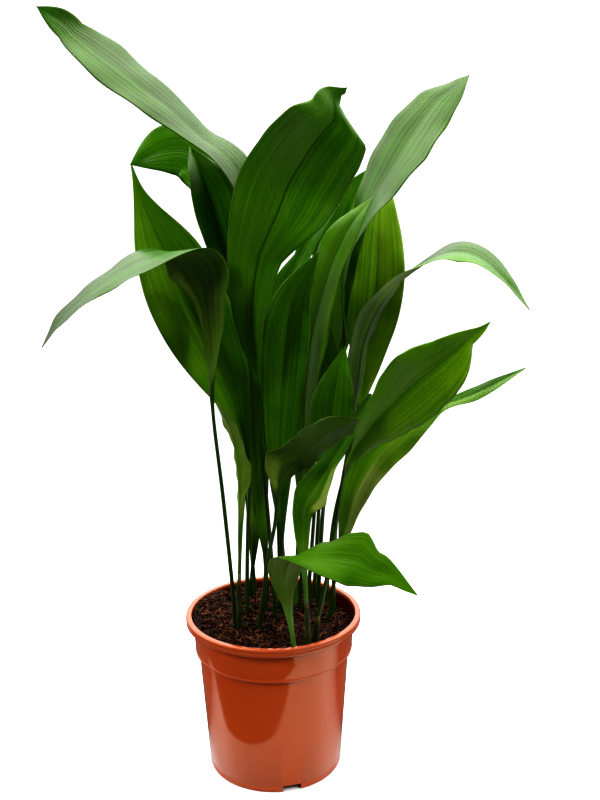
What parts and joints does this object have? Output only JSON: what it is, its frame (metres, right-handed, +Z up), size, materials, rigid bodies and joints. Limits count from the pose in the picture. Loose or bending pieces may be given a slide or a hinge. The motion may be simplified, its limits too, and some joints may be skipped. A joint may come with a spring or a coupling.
{
  "type": "potted cast iron plant",
  "caption": "Potted cast iron plant: long-stalked, broad, pointed leaves rise and arch out of dark soil in a round tapered nursery pot with a rolled rim and a flat base.",
  "frame": {"origin": "centre of the flat pad under the pot, on the level that the pot stands on", "axes": "+Z up along the pot's axis; -Y towards the front, where the low arching leaf hangs over the rim; +X to the right seen from the front"},
  "size_m": [0.5219, 0.3175, 0.8768],
  "materials": {
    "pot": "glossy moulded terracotta-coloured plastic",
    "soil": "moist dark potting mix of bark and fibre",
    "leaf": "leathery green leaf, satin above and duller below",
    "sheath": "dry dark green-brown scale"
  },
  "bodies": {
    "root": {"pot": "pot", "soil": "soil", "leaf_upper_left": "leaf", "leaf_back_left": "leaf", "leaf_left_upright": "leaf", "leaf_left_broad": "leaf", "leaf_left_arching": "leaf", "leaf_centre_tall": "leaf", "leaf_upper_right": "leaf", "leaf_back_right": "leaf", "leaf_right_arching": "leaf", "leaf_right_broad": "leaf", "leaf_right_narrow": "leaf", "leaf_front_low": "leaf", "leaf_front_curled": "leaf", "leaf_front_upright": "leaf", "leaf_left_small": "leaf", "leaf_centre_left": "leaf", "leaf_centre_right": "leaf", "leaf_centre_inner": "leaf", "leaf_back_upright": "leaf", "leaf_inner_short": "leaf", "leaf_front_short": "leaf", "leaf_centre_front": "leaf", "leaf_back_low": "leaf", "leaf_left_inner": "leaf", "sheath_left": "sheath", "sheath_back_left": "sheath", "sheath_front": "sheath", "sheath_right": "sheath"}
  },
  "joints": []
}
